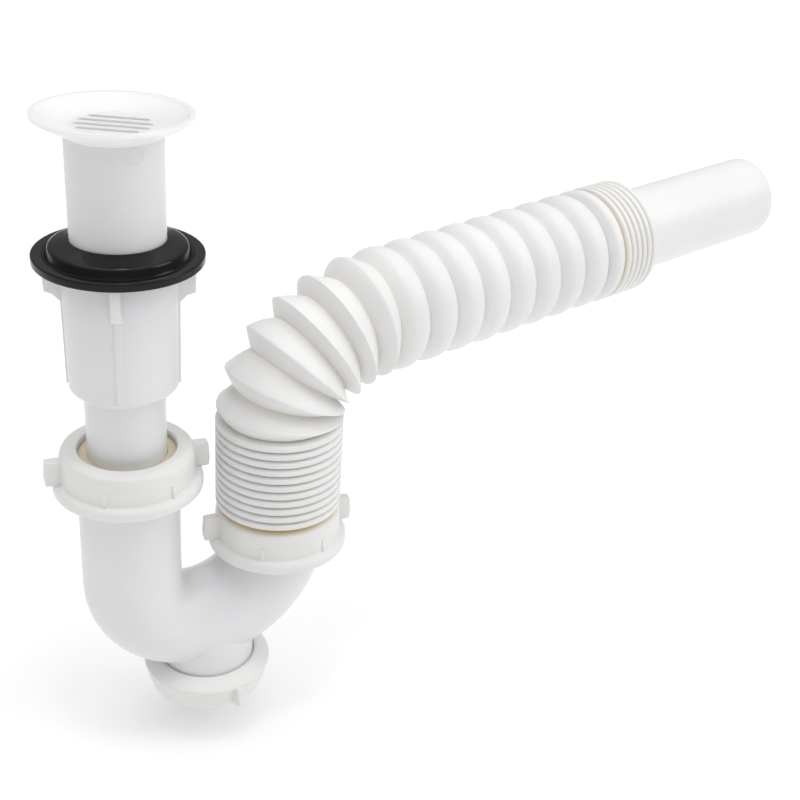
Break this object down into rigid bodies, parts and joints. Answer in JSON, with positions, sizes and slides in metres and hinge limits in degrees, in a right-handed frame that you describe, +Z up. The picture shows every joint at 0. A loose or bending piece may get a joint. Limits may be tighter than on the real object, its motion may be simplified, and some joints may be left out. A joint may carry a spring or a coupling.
{
  "type": "corrugated basin trap",
  "caption": "Flexible basin trap: slotted waste with rubber gasket, winged tailpiece, U-bend with winged nuts and clean-out cap, and a corrugated outlet hose with plain spigot.",
  "frame": {"origin": "on the waste column's axis, in the plane of the waste flange's rim", "axes": "+Z up along the waste column, +X from the U-bend's inlet leg to its outlet leg"},
  "size_m": [0.38, 0.1156, 0.2636],
  "materials": {
    "white_plastic": "satin",
    "warm_plastic": "satin",
    "hose_plastic": "satin",
    "black_rubber": "satin",
    "cream_rubber": "matt"
  },
  "bodies": {
    "waste": {"waste_strainer": "white_plastic"},
    "tail": {"tailpiece": "white_plastic", "basin_gasket": "black_rubber"},
    "seal": {"inlet_seal": "cream_rubber"},
    "bend": {"trap_bend": "white_plastic", "outlet_seal": "cream_rubber"},
    "nut_in": {"inlet_nut": "warm_plastic"},
    "nut_out": {"outlet_nut": "warm_plastic"},
    "cap": {"cleanout_cap": "warm_plastic", "cleanout_seal": "cream_rubber"},
    "stack": {"hose_stack": "hose_plastic"},
    "arm": {"hose_arm": "hose_plastic"}
  },
  "joints": [
    {"name": "tail_turn", "type": "hinge", "parent": "waste", "child": "tail", "pos_m": [0, 0, 0], "axis": [0, 0, 1], "continuous": true},
    {"name": "bend_slide", "type": "slide", "parent": "tail", "child": "seal", "axis": [0, 0, 1], "range_m": [-0.02, 0.024]},
    {"name": "bend_swivel", "type": "hinge", "parent": "seal", "child": "bend", "pos_m": [0, 0, 0], "axis": [0, 0, 1], "continuous": true},
    {"name": "inlet_nut_turn", "type": "hinge", "parent": "bend", "child": "nut_in", "pos_m": [0, 0, 0], "axis": [0, 0, 1], "continuous": true},
    {"name": "outlet_nut_turn", "type": "hinge", "parent": "bend", "child": "nut_out", "pos_m": [0.065, 0, 0], "axis": [0, 0, 1], "continuous": true},
    {"name": "cap_turn", "type": "hinge", "parent": "bend", "child": "cap", "pos_m": [0.0325, 0, 0], "axis": [0, 0, 1], "continuous": true},
    {"name": "hose_swivel", "type": "hinge", "parent": "bend", "child": "stack", "pos_m": [0.065, 0, 0], "axis": [0, 0, 1], "range_deg": [-105, 90]},
    {"name": "hose_stretch", "type": "slide", "parent": "stack", "child": "arm", "axis": [0, 0, 1], "range_m": [0, 0.06], "deforming": ["hose_stack"]}
  ]
}
